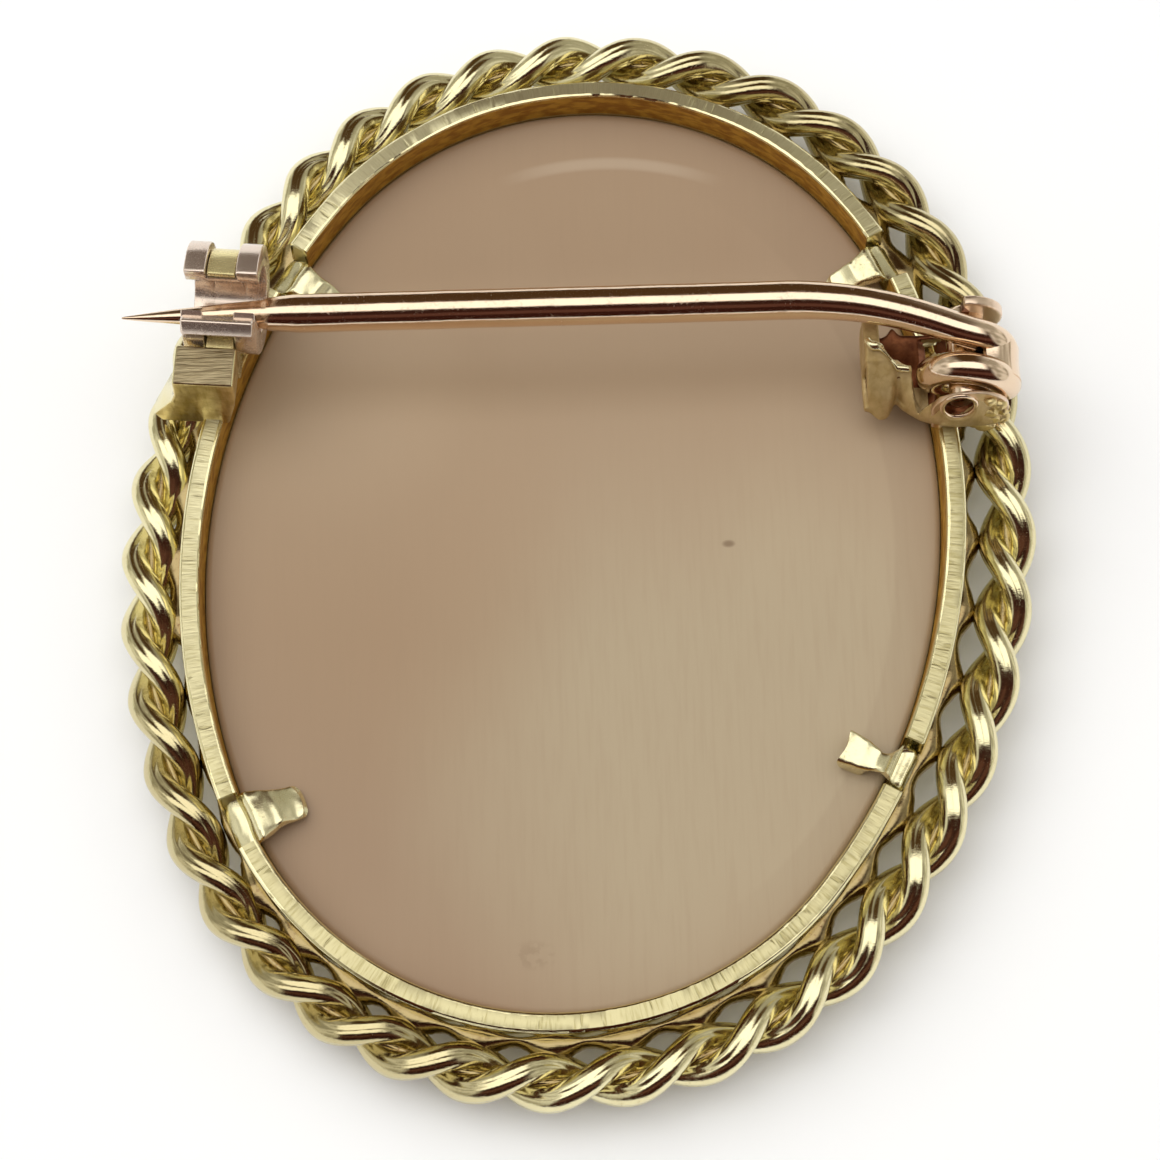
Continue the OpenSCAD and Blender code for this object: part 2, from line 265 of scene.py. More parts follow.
def wall_gold(name, colour, dull):
    """Inner side of the wall between the rim and the shell: dull, and painted dark orange-brown for the shade there
    and the shell's warm reflection.
    """
    t = new_tree(name)
    soft = grain(t, place(t, (1, 1, 2.5)), 1.6, 3.0)
    return surface(
        t, Base_Color=t.mix(soft.between(0.35, 0.65), colour, dull), Metallic=0.6,
        Roughness=0.42 + soft * 0.15, Normal=bumped(t, soft, 0.4, 0.06))


def brushed_gold(name, colour, dull, turn):
    """A face filed in one direction, given as its turn about Z."""
    t = new_tree(name)
    marks = grain(t, place(t, (0.5, 9, 9), turn), 1.4, 3.0, 0.6)
    soft = grain(t, place(t), 0.8, 2.0)
    return surface(
        t, Base_Color=t.mix(marks.between(0.42, 0.62) * 0.5, colour, dull), Metallic=1.0,
        Roughness=0.3 + soft * 0.15, Normal=bumped(t, marks + soft * 0.4, 0.8, 0.05))


def satin_gold(name, colour, dull, metallic=1.0, rough=0.3):
    """Gold left as it came from the pickle after soldering: matt, a little grainy."""
    t = new_tree(name)
    soft = grain(t, place(t), 1.3, 3.0)
    fine = grain(t, place(t), 14.0, 4.0)
    streak = grain(t, place(t, (5, 5, 0.8)), 1.0, 3.0)
    uneven = soft.between(0.35, 0.65) * 0.6 + streak.between(0.4, 0.7) * 0.4
    return surface(
        t, Base_Color=t.mix(uneven, colour, dull), Metallic=metallic, Roughness=rough + soft * 0.2,
        Normal=bumped(t, soft + streak * 0.3 + fine * 0.12, 0.5, 0.08))


def shell_material():
    """Back of the shell: warm tan, creamier where it is thin, pinker to the left, with faint growth lines."""
    t = new_tree("shell_back")
    here = place(t)
    x, y = parts_of(t, here, 2)

    def patch(at_x, at_y, rx, ry):
        """1 at a point, falling to 0 at an ellipse round it."""
        dx, dy = (x - at_x) * (1 / rx), (y - at_y) * (1 / ry)
        return 1.0 - (dx * dx + dy * dy).between(0.0, 1.0)

    cloud = grain(t, place(t, (1, 0.7, 1)), 0.16, 3.0, 0.5)
    lines = grain(t, place(t, (5.5, 0.35, 1)), 1.0, 3.0, 0.6)
    specks = grain(t, here, 3.2, 2.0)
    cream = patch(4.6, -7.5, 13.0, 14.0) * 0.95 + patch(9.5, 0.0, 5.0, 9.0) * 0.25 + cloud * 0.5 - 0.22
    pink = (patch(-7.0, 1.0, 8.0, 12.0) * 0.8 + patch(0.0, 11.5, 11.0, 6.5) * 0.5).clamp()
    base = t.mix(cream.clamp(), (0.342, 0.234, 0.146), (0.425, 0.34, 0.222))
    base = t.mix(pink * 0.8, base, (0.360, 0.244, 0.142))
    base = t.mix(lines.between(0.4, 0.75) * 0.14, base, (0.32, 0.225, 0.14))

    # Painted light under the pin lifts its cast shadow, and a painted shade ring darkens the hollow's edge near the
    # wall at the right
    pale = y.between(-4.0, 6.5) * (1.0 - y.between(7.0, 11.0)) * (0.52 + patch(-9.0, 6.0, 6.0, 6.0) * 0.3)
    base = t.mix(pale, base, (0.50, 0.37, 0.24))
    # Painted shade: a thin dark band on the shell along the wall at the right.
    ring = (x * x * (1 / 150) + y * y * (1 / 262)).between(0.80, 0.83) * x.between(3.0, 9.0)
    base = t.mix(ring * 0.14, base, (0.25, 0.17, 0.10))

    # A dark speck, a smudge near the bottom, and a painted reflection near the top: a pale arc
    speck = patch(5.25, -0.1, 0.28, 0.17)
    smudge = patch(-1.9, -14.6, 0.9, 0.6) * specks.between(0.4, 0.6)
    base = t.mix((speck * 0.8 + smudge * 0.25).clamp(), base, (0.2, 0.13, 0.07))
    # Painted reflection: a pale arc across the top of the shell.
    arc_r = ((x - 1.2) * (x - 1.2) + (y - 4.0) * (y - 4.0)) ** 0.5
    arc = (1.0 - ((arc_r - 10.6) * (arc_r - 10.6)).between(0.0, 0.09)) * patch(1.6, 14.6, 4.6, 2.2)
    base = t.mix(arc * 0.3, base, (0.6, 0.5, 0.38))
    return surface(
        t, Base_Color=base, Roughness=0.36 + lines * 0.12, Specular_IOR_Level=0.35,
        Normal=bumped(t, lines * 0.25 + cloud, 0.25, 0.08))


GOLD = polished_gold("polished_yellow_gold", (0.86, 0.79, 0.48), (0.74, 0.64, 0.33))
# The rope's wire carries painted shade at the upper right and lower left.
ROPE = polished_gold("drawn_wire", (0.85, 0.78, 0.48), (0.70, 0.60, 0.33), 0.13, 0.8, tarnish=0.5)
CLAW = polished_gold("hammered_gold", (0.90, 0.84, 0.54), (0.66, 0.56, 0.26), 0.22, 0.6)
RIM = filed_gold("filed_rim", (0.88, 0.82, 0.52), (0.62, 0.55, 0.28))
# Painted shade and reflection: the wall's inside is coloured dark orange-brown.
WALL = wall_gold("inner_wall_shade", (0.62, 0.36, 0.05), (0.38, 0.18, 0.022))
SATIN = satin_gold("soldered_gold", (0.80, 0.66, 0.34), (0.62, 0.47, 0.20))
CHEEK = satin_gold("dull_cheek", (0.62, 0.46, 0.22), (0.46, 0.32, 0.12), metallic=0.5, rough=0.36)
FOOT = satin_gold("satin_foot", (0.84, 0.70, 0.34), (0.46, 0.33, 0.08), rough=0.26)
BLOCK = brushed_gold("filed_block", (0.52, 0.43, 0.26), (0.17, 0.12, 0.05), 0.32)
PINK = polished_gold("polished_rose_gold", (0.86, 0.68, 0.50), (0.76, 0.55, 0.39), 0.12, 0.2)
EAR = polished_gold("ear_rose_gold", (0.84, 0.66, 0.50), (0.78, 0.58, 0.42), 0.3, 0.3)
# Painted shade: dark red-brown for the hollows of the hinge, the box floor and the ear's opening.
DARK = satin_gold("hinge_inside_shade", (0.26, 0.10, 0.045), (0.12, 0.04, 0.02), rough=0.25)
ROTOR = polished_gold("catch_rose_gold", (0.80, 0.68, 0.58), (0.72, 0.58, 0.48), 0.2, 0.2, metallic=0.86)
CATCH = polished_gold("catch_yellow_gold", (0.84, 0.74, 0.38), (0.70, 0.58, 0.26), 0.24, 0.5, metallic=0.7)
# Painted shade: solder fill coloured dark olive for the shade between the wall and the rope's wires.
FILL = polished_gold("solder_fill_shade", (0.42, 0.33, 0.16), (0.19, 0.08, 0.035), 0.16, 0.8)
SHELL = shell_material()


# Mesh helpers, in millimetres

def grid(rings, close_rings=False, caps=False, uv=None):
    """Mesh through rings of points, an array of rings by points by 3.

    uv is a layer's name, its value for each ring and its value for each point."""
    rings = np.asarray(rings, float)
    n, m = rings.shape[:2]
    mesh = bpy.data.meshes.new("grid")
    i, j = np.meshgrid(np.arange(n if close_rings else n - 1), np.arange(m), indexing="ij")
    i2, j2 = (i + 1) % n, (j + 1) % m
    faces = np.stack([i * m + j, i2 * m + j, i2 * m + j2, i * m + j2], -1).reshape(-1, 4).tolist()
    if caps:
        faces += [list(range(m))[::-1], [(n - 1) * m + k for k in range(m)]]
    mesh.from_pydata(rings.reshape(-1, 3).tolist(), [], faces)
    if uv is not None:
        name, u, v = uv
        corners = [(u[a + da], v[b + db]) for a in range(i.shape[0]) for b in range(m)
                   for da, db in ((0, 0), (1, 0), (1, 1), (0, 1))]
        mesh.uv_layers.new(name=name).data.foreach_set("uv", np.array(corners, np.float32).ravel())
    return mesh


def outward(mesh):
    """Merges doubles and turns every face outward."""
    b = bmesh.new()
    b.from_mesh(mesh)
    bmesh.ops.remove_doubles(b, verts=b.verts, dist=1e-4)
    bmesh.ops.recalc_face_normals(b, faces=b.faces)
    if sum(f.calc_area() * f.normal.dot(f.calc_center_median()) for f in b.faces) < 0:
        bmesh.ops.reverse_faces(b, faces=b.faces)
    b.to_mesh(mesh)
    b.free()
    return mesh


def mesh_of(b):
    """A new mesh from a working one."""
    mesh = bpy.data.meshes.new("mesh")
    b.to_mesh(mesh)
    b.free()
    return mesh


def prism(outline, low, high, frame=None):
    """A flat outline pulled along its third axis from low to high; frame turns it into place."""
    b = bmesh.new()
    verts = [b.verts.new((x, y, low)) for x, y in outline]
    face = b.faces.new(verts)
    made = bmesh.ops.extrude_face_region(b, geom=[face])["geom"]
    bmesh.ops.translate(b, vec=(0, 0, high - low), verts=[v for v in made if isinstance(v, bmesh.types.BMVert)])
    bmesh.ops.recalc_face_normals(b, faces=b.faces)
    if frame is not None:
        b.transform(frame)
    return mesh_of(b)


def box(low, high):
    (x0, y0, z0), (x1, y1, z1) = low, high
    return prism([(x0, y0), (x1, y0), (x1, y1), (x0, y1)], z0, z1)


def joined(*meshes):
    b = bmesh.new()
    for m in meshes:
        b.from_mesh(m)
    return mesh_of(b)


def finished(mesh, *modifiers):
    """The mesh with its modifiers applied; each is its type and its settings."""
    o = bpy.data.objects.new("work", mesh)
    scene.collection.objects.link(o)
    tools = []
    for kind, settings in modifiers:
        m = o.modifiers.new(kind, kind)
        for key, value in settings.items():
            if isinstance(value, bpy.types.Mesh):
                tool = bpy.data.objects.new("tool", value)
                scene.collection.objects.link(tool)
                tools.append(tool)
                value = tool
            setattr(m, key, value)
    done = bpy.data.meshes.new_from_object(o.evaluated_get(bpy.context.evaluated_depsgraph_get()))
    for x in [o] + tools:
        bpy.data.objects.remove(x)
    return done


def bevel(width, segments, angle):
    return "BEVEL", {"width": width, "segments": segments, "limit_method": "ANGLE",
                     "angle_limit": math.radians(angle)}


def melted(mesh, voxel, rounds):
    """Flows overlapping solids together, as solder does."""
    return finished(mesh, ("REMESH", {"mode": "VOXEL", "voxel_size": voxel}),
                    ("SMOOTH", {"factor": 0.5, "iterations": rounds}))


def worked(mesh, size, depth, seed):
    """Small unevenness of hand work: moves every vertex by noise of the given size."""
    for v in mesh.vertices:
        p = v.co / size + Vector((seed, seed * 1.7, -seed))
        v.co += noise.noise_vector(p) * depth
    return mesh


def piece(name, mesh, material, body, node, sharp, more=(), finish=None):
    """Makes a mesh one of the brooch's pieces: in metres, shaded smooth up to the angle sharp, and on its body.

    more are further materials, and finish is the number of each face's own."""
    mesh.transform(Matrix.Scale(MM, 4))
    mesh.materials.clear()
    for m in (material, *more):
        mesh.materials.append(m)
    if finish is not None:
        mesh.polygons.foreach_set("material_index", np.array(finish, np.int32))
    mesh.shade_smooth()
    if sharp:
        mesh.set_sharp_from_angle(angle=math.radians(sharp))
    o = bpy.data.objects.new(name, mesh)
    scene.collection.objects.link(o)
    mesh.name = name
    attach(o, body)
    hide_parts(node)


def tube(path, radii, sides):
    """Rings of a round wire, set square to its path, which must not run along Y."""
    path, radii = np.asarray(path, float), np.asarray(radii, float)
    d = np.gradient(path, axis=0)
    d /= np.linalg.norm(d, axis=1)[:, None]
    side = np.cross(d, [0.0, 1.0, 0.0])
    side /= np.linalg.norm(side, axis=1)[:, None]
    up = np.cross(side, d)
    t = np.linspace(0, 2 * math.pi, sides, endpoint=False)
    return path[:, None] + radii[:, None, None] * (
        np.cos(t)[None, :, None] * side[:, None] + np.sin(t)[None, :, None] * up[:, None])


# Bezel wall

LOW_CUT = 3.3  # the wall is cut where its top is lower than this
CLAWS = {"claw_lower_left": (211.5, 2.7), "claw_lower_right": (342.0, 2.4),
         "claw_upper_left": (157.0, 2.6), "claw_upper_right": (33.0, 2.6)}


def cut_range(a, half):
    """Middle and half width, in degrees, of a cut that reaches half a width to each side along the wall."""
    x, y = rim_at(a, 0)[:2]
    ends = []
    for side in (-1, 1):
        d = 0.0
        while math.hypot(*(np.array(rim_at(a + side * d, 0)[:2]) - (x, y))) < half:
            d += 0.02
        ends.append(a + side * d)
    return (ends[0] + ends[1]) / 2, (ends[1] - ends[0]) / 2


def apart(a, b):
    """Angle between two directions, in degrees."""
    return abs((a - b + 180) % 360 - 180)


def wall_cuts():
    """Cuts in the wall beside the claws and under the coil: middle, half width and height of what is left."""
    cuts = [(*cut_range(a, CLAW_W / 2 + CLAW_SLIT), BACK_Z - 0.35) for a, _ in CLAWS.values()]
    coil = [a for a in np.arange(0, 80, 0.25) if EAR_LO[1] < rim_at(a, 0)[1] < EAR_HI[0] and rim_at(a, 0)[0] > 5]
    cuts.append(((coil[0] + coil[-1]) / 2, (coil[-1] - coil[0]) / 2, HINGE_Z - COIL_R - PIN_D / 2 - 0.12))
    return cuts


def wall_section(top, tilt, wave):
    """The wall's section from its outside over the rim to the lip: distance outward and height of each point."""
    lip = [(-WALL_T - 0.05, SEAT_Z - 0.03), (-LIP_IN + 0.05, SEAT_Z - 0.22), (-LIP_IN, SEAT_Z - 0.27),
           (-LIP_IN, SEAT_Z - 0.38), (-LIP_IN + 0.05, SEAT_Z - 0.46), (-LIP_IN + 0.45, 0.12), (-LIP_IN + 0.56, 0.05),
           (-0.52, 0.0), (-0.2, 0.0), (-0.06, 0.08)]
    if top < LOW_CUT:
        return [(0.0, 0.3), (0.0, top - 0.08), (0.0, top - 0.05), (-0.03, top - 0.02), (-0.08, top),
                (-WALL_T + 0.08, top), (-WALL_T + 0.04, top - 0.02), (-WALL_T, top - 0.05), (-WALL_T, top - 0.08),
                (-WALL_T, min(top - 0.1, BACK_Z + 0.1)), (-WALL_T - 0.045, min(top - 0.2, BACK_Z - 0.02))] + lip
    return [(0.0, 0.3), (0.0, top - 0.16 - tilt), (-0.02, top - 0.08 - tilt), (-0.07, top - 0.02 - tilt),
            (-0.12 - wave * 0.5, top - tilt * 0.8), (-WALL_T + 0.12 + wave, top), (-WALL_T + 0.055, top - 0.02),
            (-WALL_T + 0.01, top - 0.075), (-WALL_T, top - 0.15), (-WALL_T, BACK_Z + 0.12),
            (-WALL_T - 0.045, BACK_Z - 0.02)] + lip


def make_bezel():
    cuts = wall_cuts()
    steps = set(np.arange(0, 360, 0.5))
    for a, w, _ in cuts:
        steps = {s for s in steps if abs(apart(s, a) - w) > 0.3}
        for side in (-1, 1):
            steps |= {(a + side * (w + e)) % 360 for e in (-0.12, -0.03, 0.03, 0.14)}
    rings, run, along, last = [], [], 0.0, None
    for a in sorted(steps):
        top = RIM_Z + 0.035 * math.sin(math.radians(a * 5 + 40)) + 0.02 * math.sin(math.radians(a * 13))
        wave = 0.025 * math.sin(math.radians(a * 7 + 10)) + 0.03 * noise.noise(Vector((a * 0.7, 3, 0)))
        for c, w, z in cuts:
            if apart(a, c) < w:
                top = z if apart(a, c) < w - 0.05 else z + 0.1
            elif apart(a, c) < w + 0.08:
                top -= 0.07
        tilt = 0.03 + 0.13 * max(0.0, math.sin(math.radians(a + OVAL_TURN + 16))) ** 3
        off, z = np.array(wall_section(top, tilt, wave)).T
        x, y, _, _ = rim_at(np.full(len(off), a), off)
        if last is not None:
            along += math.hypot(x[0] - last[0], y[0] - last[1])
        last = (x[0], y[0])
        run.append(along)
        rings.append(np.stack([x, y, z], -1))
    run.append(along + math.hypot(rings[0][0][0] - last[0], rings[0][0][1] - last[1]))
    mesh = grid(rings, close_rings=True, uv=("rim", run, [*off, off[0]]))
    b = bmesh.new()
    b.from_mesh(mesh)
    bmesh.ops.recalc_face_normals(b, faces=b.faces)
    b.to_mesh(mesh)
    b.free()

    # The section's fifth stretch is the filed top, and the eighth to tenth are the wall's inside
    finish = np.zeros(len(mesh.polygons), np.int32)
    for p in mesh.polygons:
        stretch = p.index % len(off)
        if stretch in (7, 8, 9):
            finish[p.index] = 2
        elif stretch == 4 and mesh.vertices[p.vertices[0]].co.z > LOW_CUT:
            finish[p.index] = 1
    piece("bezel_wall", mesh, GOLD, "brooch", "setting", 24, (RIM, WALL), finish)


# Claws

def claw_frame(a):
    """Turns a claw's own outward, along and up into place at the direction a."""
    x, y, cx, cy = (float(k) for k in rim_at(a, 0))
    return Matrix(((cx, -cy, 0, x), (cy, cx, 0, y), (0, 0, 1, 0), (0, 0, 0, 1)))


def make_claw(name, a, reach):
    """A strip of the wall bent in over the shell, hammered a little, with its end trimmed.

    The one at the lower right is narrow in the middle, and its end is spread and split like a fish's tail."""
    z = BACK_Z
    fish = name == "claw_lower_right"
    if fish:
        line = [(-0.3, z - 0.5), (-0.3, z + 0.2), (-0.34, RIM_Z - 0.75), (-0.45, RIM_Z - 0.45),
                (-0.7, RIM_Z - 0.36), (-0.95, RIM_Z - 0.42), (-1.2, z + 0.66), (-1.45, z + 0.54),
                (-reach + 0.45, z + 0.58), (-reach, z + 0.66)]
    else:
        line = [(-0.3, z - 0.5), (-0.3, z + 0.1), (-0.34, RIM_Z - 1.0), (-0.48, RIM_Z - 0.7),
                (-0.75, RIM_Z - 0.48), (-1.05, RIM_Z - 0.42), (-1.4, RIM_Z - 0.5), (-1.75, z + 0.62),
                (-reach + 0.4, z + 0.42), (-reach, z + 0.26)]
    line = np.array(line)
    n_rings = 60
    t, k = np.linspace(0, len(line) - 1, n_rings), np.arange(len(line))
    px, pz = np.interp(t, k, line[:, 0]), np.interp(t, k, line[:, 1])
    for _ in range(4 if fish else 26):
        px[1:-1], pz[1:-1] = (px[:-2] + 2 * px[1:-1] + px[2:]) / 4, (pz[:-2] + 2 * pz[1:-1] + pz[2:]) / 4
    dx, dz = np.gradient(px), np.gradient(pz)
    n = np.hypot(dx, dz)
    dx, dz = dx / n, dz / n
    u = np.linspace(0, 1, n_rings)
    if fish:
        wide = np.interp(u, [0, 0.4, 0.55, 0.7, 0.84, 1], [1.5, 1.35, 0.75, 0.66, 1.12, 1.2])
        thick = np.interp(u, [0, 0.5, 0.75, 0.85, 1], [0.56, 0.5, 0.5, 0.6, 0.5])
        crease = 0.0 * u
    else:
        wide = np.interp(u, [0, 0.35, 0.55, 0.68, 0.8, 1], [2.0, 1.95, 1.75, 1.5, 1.3, 1.2])
        wide *= 1.0 if name == "claw_lower_left" else 0.72
        thick = np.interp(u, [0, 0.5, 0.8, 1], [0.56, 0.52, 0.46, 0.4])
        crease = 0.06 * np.exp(-((u - 0.8) / 0.04) ** 2) - 0.04 * np.exp(-((u - 0.9) / 0.07) ** 2)
    around = np.linspace(0, 2 * math.pi, 32, endpoint=False)
    cs, sn = np.cos(around), np.sin(around)
    wx, wz = np.sign(cs) * np.abs(cs) ** 0.28, np.sign(sn) * np.abs(sn) ** 0.42
    rings = []
    for i in range(n_rings):
        y = wx * wide[i] / 2
        h = wz * thick[i] / 2 + np.maximum(wz, 0) * crease[i] * (1 + 0.4 * wx)
        extra = slant = 0.0
        if fish:
            h += np.minimum(wz, 0) * min(1.0, max(0.0, u[i] - 0.62) / 0.1) * 0.5
            slant = 0.12 * y * max(0.0, u[i] - 0.6) / 0.4
            y = y - 0.16 * min(1.0, max(0.0, u[i] - 0.4) / 0.2)
        if fish and u[i] > 0.78:
            extra = (np.abs(wx) - 0.55) * 0.14 * (u[i] - 0.78) / 0.22
        elif u[i] > 0.85:
            extra = -np.abs(wx) ** 3 * 0.22 * (u[i] - 0.85) / 0.15
        rings.append(np.stack([px[i] - dz[i] * h + dx[i] * extra, y, pz[i] - dx[i] * h + dz[i] * extra + slant], -1))
    mesh = outward(grid(rings, caps=True))
    mesh = finished(mesh, bevel(0.05, 3, 40), ("SUBSURF", {"levels": 1, "render_levels": 1}))
    worked(mesh, 0.8, 0.03 if fish else 0.06, a)
    worked(mesh, 0.3, 0.015 if fish else 0.02, a + 3)
    mesh.transform(claw_frame(a))
    piece(name, mesh, CLAW, "brooch", "setting", 40)


# Rope

def rope_line():
    """Middle line of the rope, closed, from its join round."""
    side = math.radians(2 * JOIN_A) * (SIDE_R + ROPE_OFF)
    end = math.radians(180 - 2 * JOIN_A) * (END_R + ROPE_OFF)
    length = 2 * (side + end)
    s = np.linspace(0, length, 1400, endpoint=False)
    join_at = 2 * side + end * 1.54
    q = (s + join_at) % length
    h = q % (side + end)
    a = np.where(q >= side + end, 180.0, 0.0) - JOIN_A + np.where(
        h < side, h / side * 2 * JOIN_A, 2 * JOIN_A + (h - side) / end * (180 - 2 * JOIN_A))
    x, y = turned(*oval(a, ROPE_OFF), OVAL_TURN)
    return np.stack([x, y, np.full_like(x, ROPE_Z)], -1)


class Graph:
    """A Geometry Nodes tree with named inputs."""

    def __init__(self, name):
        self.tree = bpy.data.node_groups.new(name, "GeometryNodeTree")
        self.tree.interface.new_socket("Geometry", in_out="INPUT", socket_type="NodeSocketGeometry")
        self.tree.interface.new_socket("Geometry", in_out="OUTPUT", socket_type="NodeSocketGeometry")
        self.entry = self.tree.nodes.new("NodeGroupInput")
        self.exit = self.tree.nodes.new("NodeGroupOutput")
        self.ids = {}

    def input(self, name, value):
        kind = "NodeSocketInt" if isinstance(value, int) else "NodeSocketFloat"
        item = self.tree.interface.new_socket(name, in_out="INPUT", socket_type=kind)
        item.default_value = value
        self.ids[name] = item.identifier
        return self.entry.outputs[name]

    def node(self, kind, settings=None, **sockets):
        n = self.tree.nodes.new(kind)
        for key, value in (settings or {}).items():
            setattr(n, key, value)
        for key, value in sockets.items():
            if isinstance(value, bpy.types.NodeSocket):
                self.tree.links.new(value, input_of(n, key))
            else:
                input_of(n, key).default_value = value
        return n.outputs[0]

    def math(self, operation, a, b=0.0):
        return self.node("ShaderNodeMath", {"operation": operation}, _0=a, _1=b)

    def vector(self, operation, a, b):
        return self.node("ShaderNodeVectorMath", {"operation": operation}, _0=a, _1=b)


def rope_graph(material):
    """Winds one wire round the rope's middle line and gives it its thickness."""
    g = Graph("twisted_wire")
    wire_d, turns = g.input("Wire diameter", STRAND_D * MM), g.input("Turns", ROPE_TURNS)
    phase, drift = g.input("Phase", 0.0), g.input("Unevenness", math.radians(TWIST_DRIFT))
    sides, grooves, depth = g.input("Sides", 48), g.input("Grooves", 4), g.input("Depth of the grooves", 0.1)
    line = g.node("GeometryNodeMeshToCurve", Mesh=g.entry.outputs["Geometry"])
    along = g.node("GeometryNodeSplineParameter")
    full = g.math("MULTIPLY", along, 2 * math.pi)
    close = g.node("ShaderNodeMapRange", {"interpolation_type": "SMOOTHSTEP"}, Value=along, From_Min=CLOSE_FROM,
                   From_Max=1.0, To_Max=math.radians((CLOSED_TURNS - ROPE_TURNS) * 360))
    angle = g.math("ADD", g.math("ADD", phase, g.math("ADD", close, g.math("MULTIPLY", full, turns))),
                   g.math("MULTIPLY", drift, g.math("COSINE", full)))
    out = g.vector("CROSS_PRODUCT", g.node("GeometryNodeInputTangent"), (0.0, 0.0, 1.0))
    reach = g.math("MULTIPLY", wire_d, 0.53)
    sideways = g.node("ShaderNodeVectorMath", {"operation": "SCALE"}, _0=out,
                      Scale=g.math("MULTIPLY", reach, g.math("COSINE", angle)))
    upward = g.node("ShaderNodeCombineXYZ", Z=g.math("MULTIPLY", reach, g.math("SINE", angle)))
    wound = g.node("GeometryNodeSetPosition", Geometry=line, Offset=g.vector("ADD", sideways, upward))
    wound = g.node("GeometryNodeSetCurveNormal", {"mode": "Z_UP"}, Curve=wound)
    ring = g.node("GeometryNodeCurvePrimitiveCircle", Resolution=sides, Radius=g.math("MULTIPLY", wire_d, 0.5))

    # The wire's own outline dips at each groove
    here = g.node("GeometryNodeInputPosition")
    x = g.node("ShaderNodeSeparateXYZ", _0=here)
    y = x.node.outputs[1]
    spoke = g.math("MULTIPLY", g.math("ARCTAN2", y, x), g.math("MULTIPLY", grooves, 0.5))
    ridge = g.math("SUBTRACT", 1.0, g.math("ABSOLUTE", g.math("SINE", spoke)))
    dip = g.math("MULTIPLY", g.math("MULTIPLY", g.math("MULTIPLY", ridge, ridge), depth), -1.0)
    ring = g.node("GeometryNodeSetPosition", Geometry=ring, Offset=g.node(
        "ShaderNodeVectorMath", {"operation": "SCALE"}, _0=here, Scale=dip))
    skin = g.node("GeometryNodeCurveToMesh", Curve=wound, Profile_Curve=ring)
    skin = g.node("GeometryNodeSetShadeSmooth", Geometry=skin)
    skin = g.node("GeometryNodeRealizeInstances", Geometry=skin)
    skin = g.node("GeometryNodeSetMaterial", Geometry=skin, Material=material)
    g.tree.links.new(skin, g.exit.inputs["Geometry"])
    return g


def make_rope():
    """The two wires, each wound by the same tree from its own starting angle."""
    points = rope_line()
    graph = rope_graph(ROPE)
    n = len(points)
    for name, node, phase in (("rope_wire_a", "rope_strand_a", WIRE_A), ("rope_wire_b", "rope_strand_b", WIRE_B)):
        mesh = bpy.data.meshes.new(name)
        mesh.from_pydata((points * MM).tolist(), [(i, (i + 1) % n) for i in range(n)], [])
        o = bpy.data.objects.new(name, mesh)
        scene.collection.objects.link(o)
        m = o.modifiers.new("twisted_wire", "NODES")
        m.node_group = graph.tree
        m[graph.ids["Phase"]] = math.radians(phase)
        done = bpy.data.meshes.new_from_object(o.evaluated_get(bpy.context.evaluated_depsgraph_get()))
        bpy.data.objects.remove(o)
        done.transform(Matrix.Scale(1 / MM, 4))
        outward(done)
        worked(done, 1.7, 0.03, phase)
        piece(name, done, ROPE, "brooch", node, 50)


def make_solder():
    """Solder that has run between the wall and the rope, and a thin core of it inside the rope, both painted dark
    olive as the shade between the parts.

    It is widest at each inner turn of a wire, with a few gaps left open."""
    points = rope_line()
    share = np.arange(len(points)) / len(points)
    late = np.clip((share - CLOSE_FROM) / (1 - CLOSE_FROM), 0, 1)
    turns = share * ROPE_TURNS + (CLOSED_TURNS - ROPE_TURNS) * late * late * (3 - 2 * late)
    twist = np.radians(WIRE_A + turns * 360 + TWIST_DRIFT * np.cos(share * 2 * math.pi))
    t = np.linspace(0, 2 * math.pi, 16, endpoint=False)
    rings = []
    for a in np.arange(0, 360, 0.5):
        x, y, nx, ny = (float(c) for c in rim_at(a, 0))
        turn = math.cos(twist[np.argmin(np.hypot(points[:, 0] - x, points[:, 1] - y))]) ** 2
        d = math.degrees(math.atan2(y, x)) % 360
        gap = max(math.exp(-((d - at) / 2.4) ** 2) for at in (11.4, 238.9, 324.6, 334.4, 344.6))
        gap = max(gap, min(1.0, max(0.0, (18 - abs(d - 208)) / 3)) * 1.15)
        full = 0.3 if 15 < d < 190 else 0.06
        reach = (0.2 + 0.42 * turn) * (1 - 0.65 * max(0.0, gap - 1) / 0.15) + full * (1 - min(gap, 1.0))
        out = np.where(np.cos(t) > 0, max(0.08, reach), 0.25) * np.cos(t)
        high = ROPE_Z - 0.1 + (0.4 + 0.12 * turn) * np.sin(t)
        rings.append(np.stack([x + nx * out, y + ny * out, high], -1))
    strip = worked(outward(grid(rings, close_rings=True)), 0.7, 0.05, 3)

    thread = points[::3] - np.array([0, 0, 0.05])
    d = np.gradient(thread, axis=0)
    out = np.stack([d[:, 1], -d[:, 0], 0 * d[:, 0]], -1) / np.linalg.norm(d, axis=1)[:, None]
    t = np.linspace(0, 2 * math.pi, 10, endpoint=False)[None, :, None]
    core = thread[:, None] + 0.2 * (np.cos(t) * out[:, None] + np.sin(t) * np.array([0, 0, 1.0]))
    mesh = joined(strip, outward(grid(core, close_rings=True)))
    piece("rope_solder", mesh, FILL, "brooch", "setting", 60)


# Shell plaque

LEAVES = ((5.2, 4.6, 42, 3.4), (-5.2, 4.6, 138, 3.4), (6.6, -2.2, -16, 2.8), (-6.6, -2.2, 196, 2.8),
          (2.6, -9.2, -62, 3.2), (-2.6, -9.2, 242, 3.2), (0, 9.4, 90, 3.6), (0, -8.2, -90, 2.6))


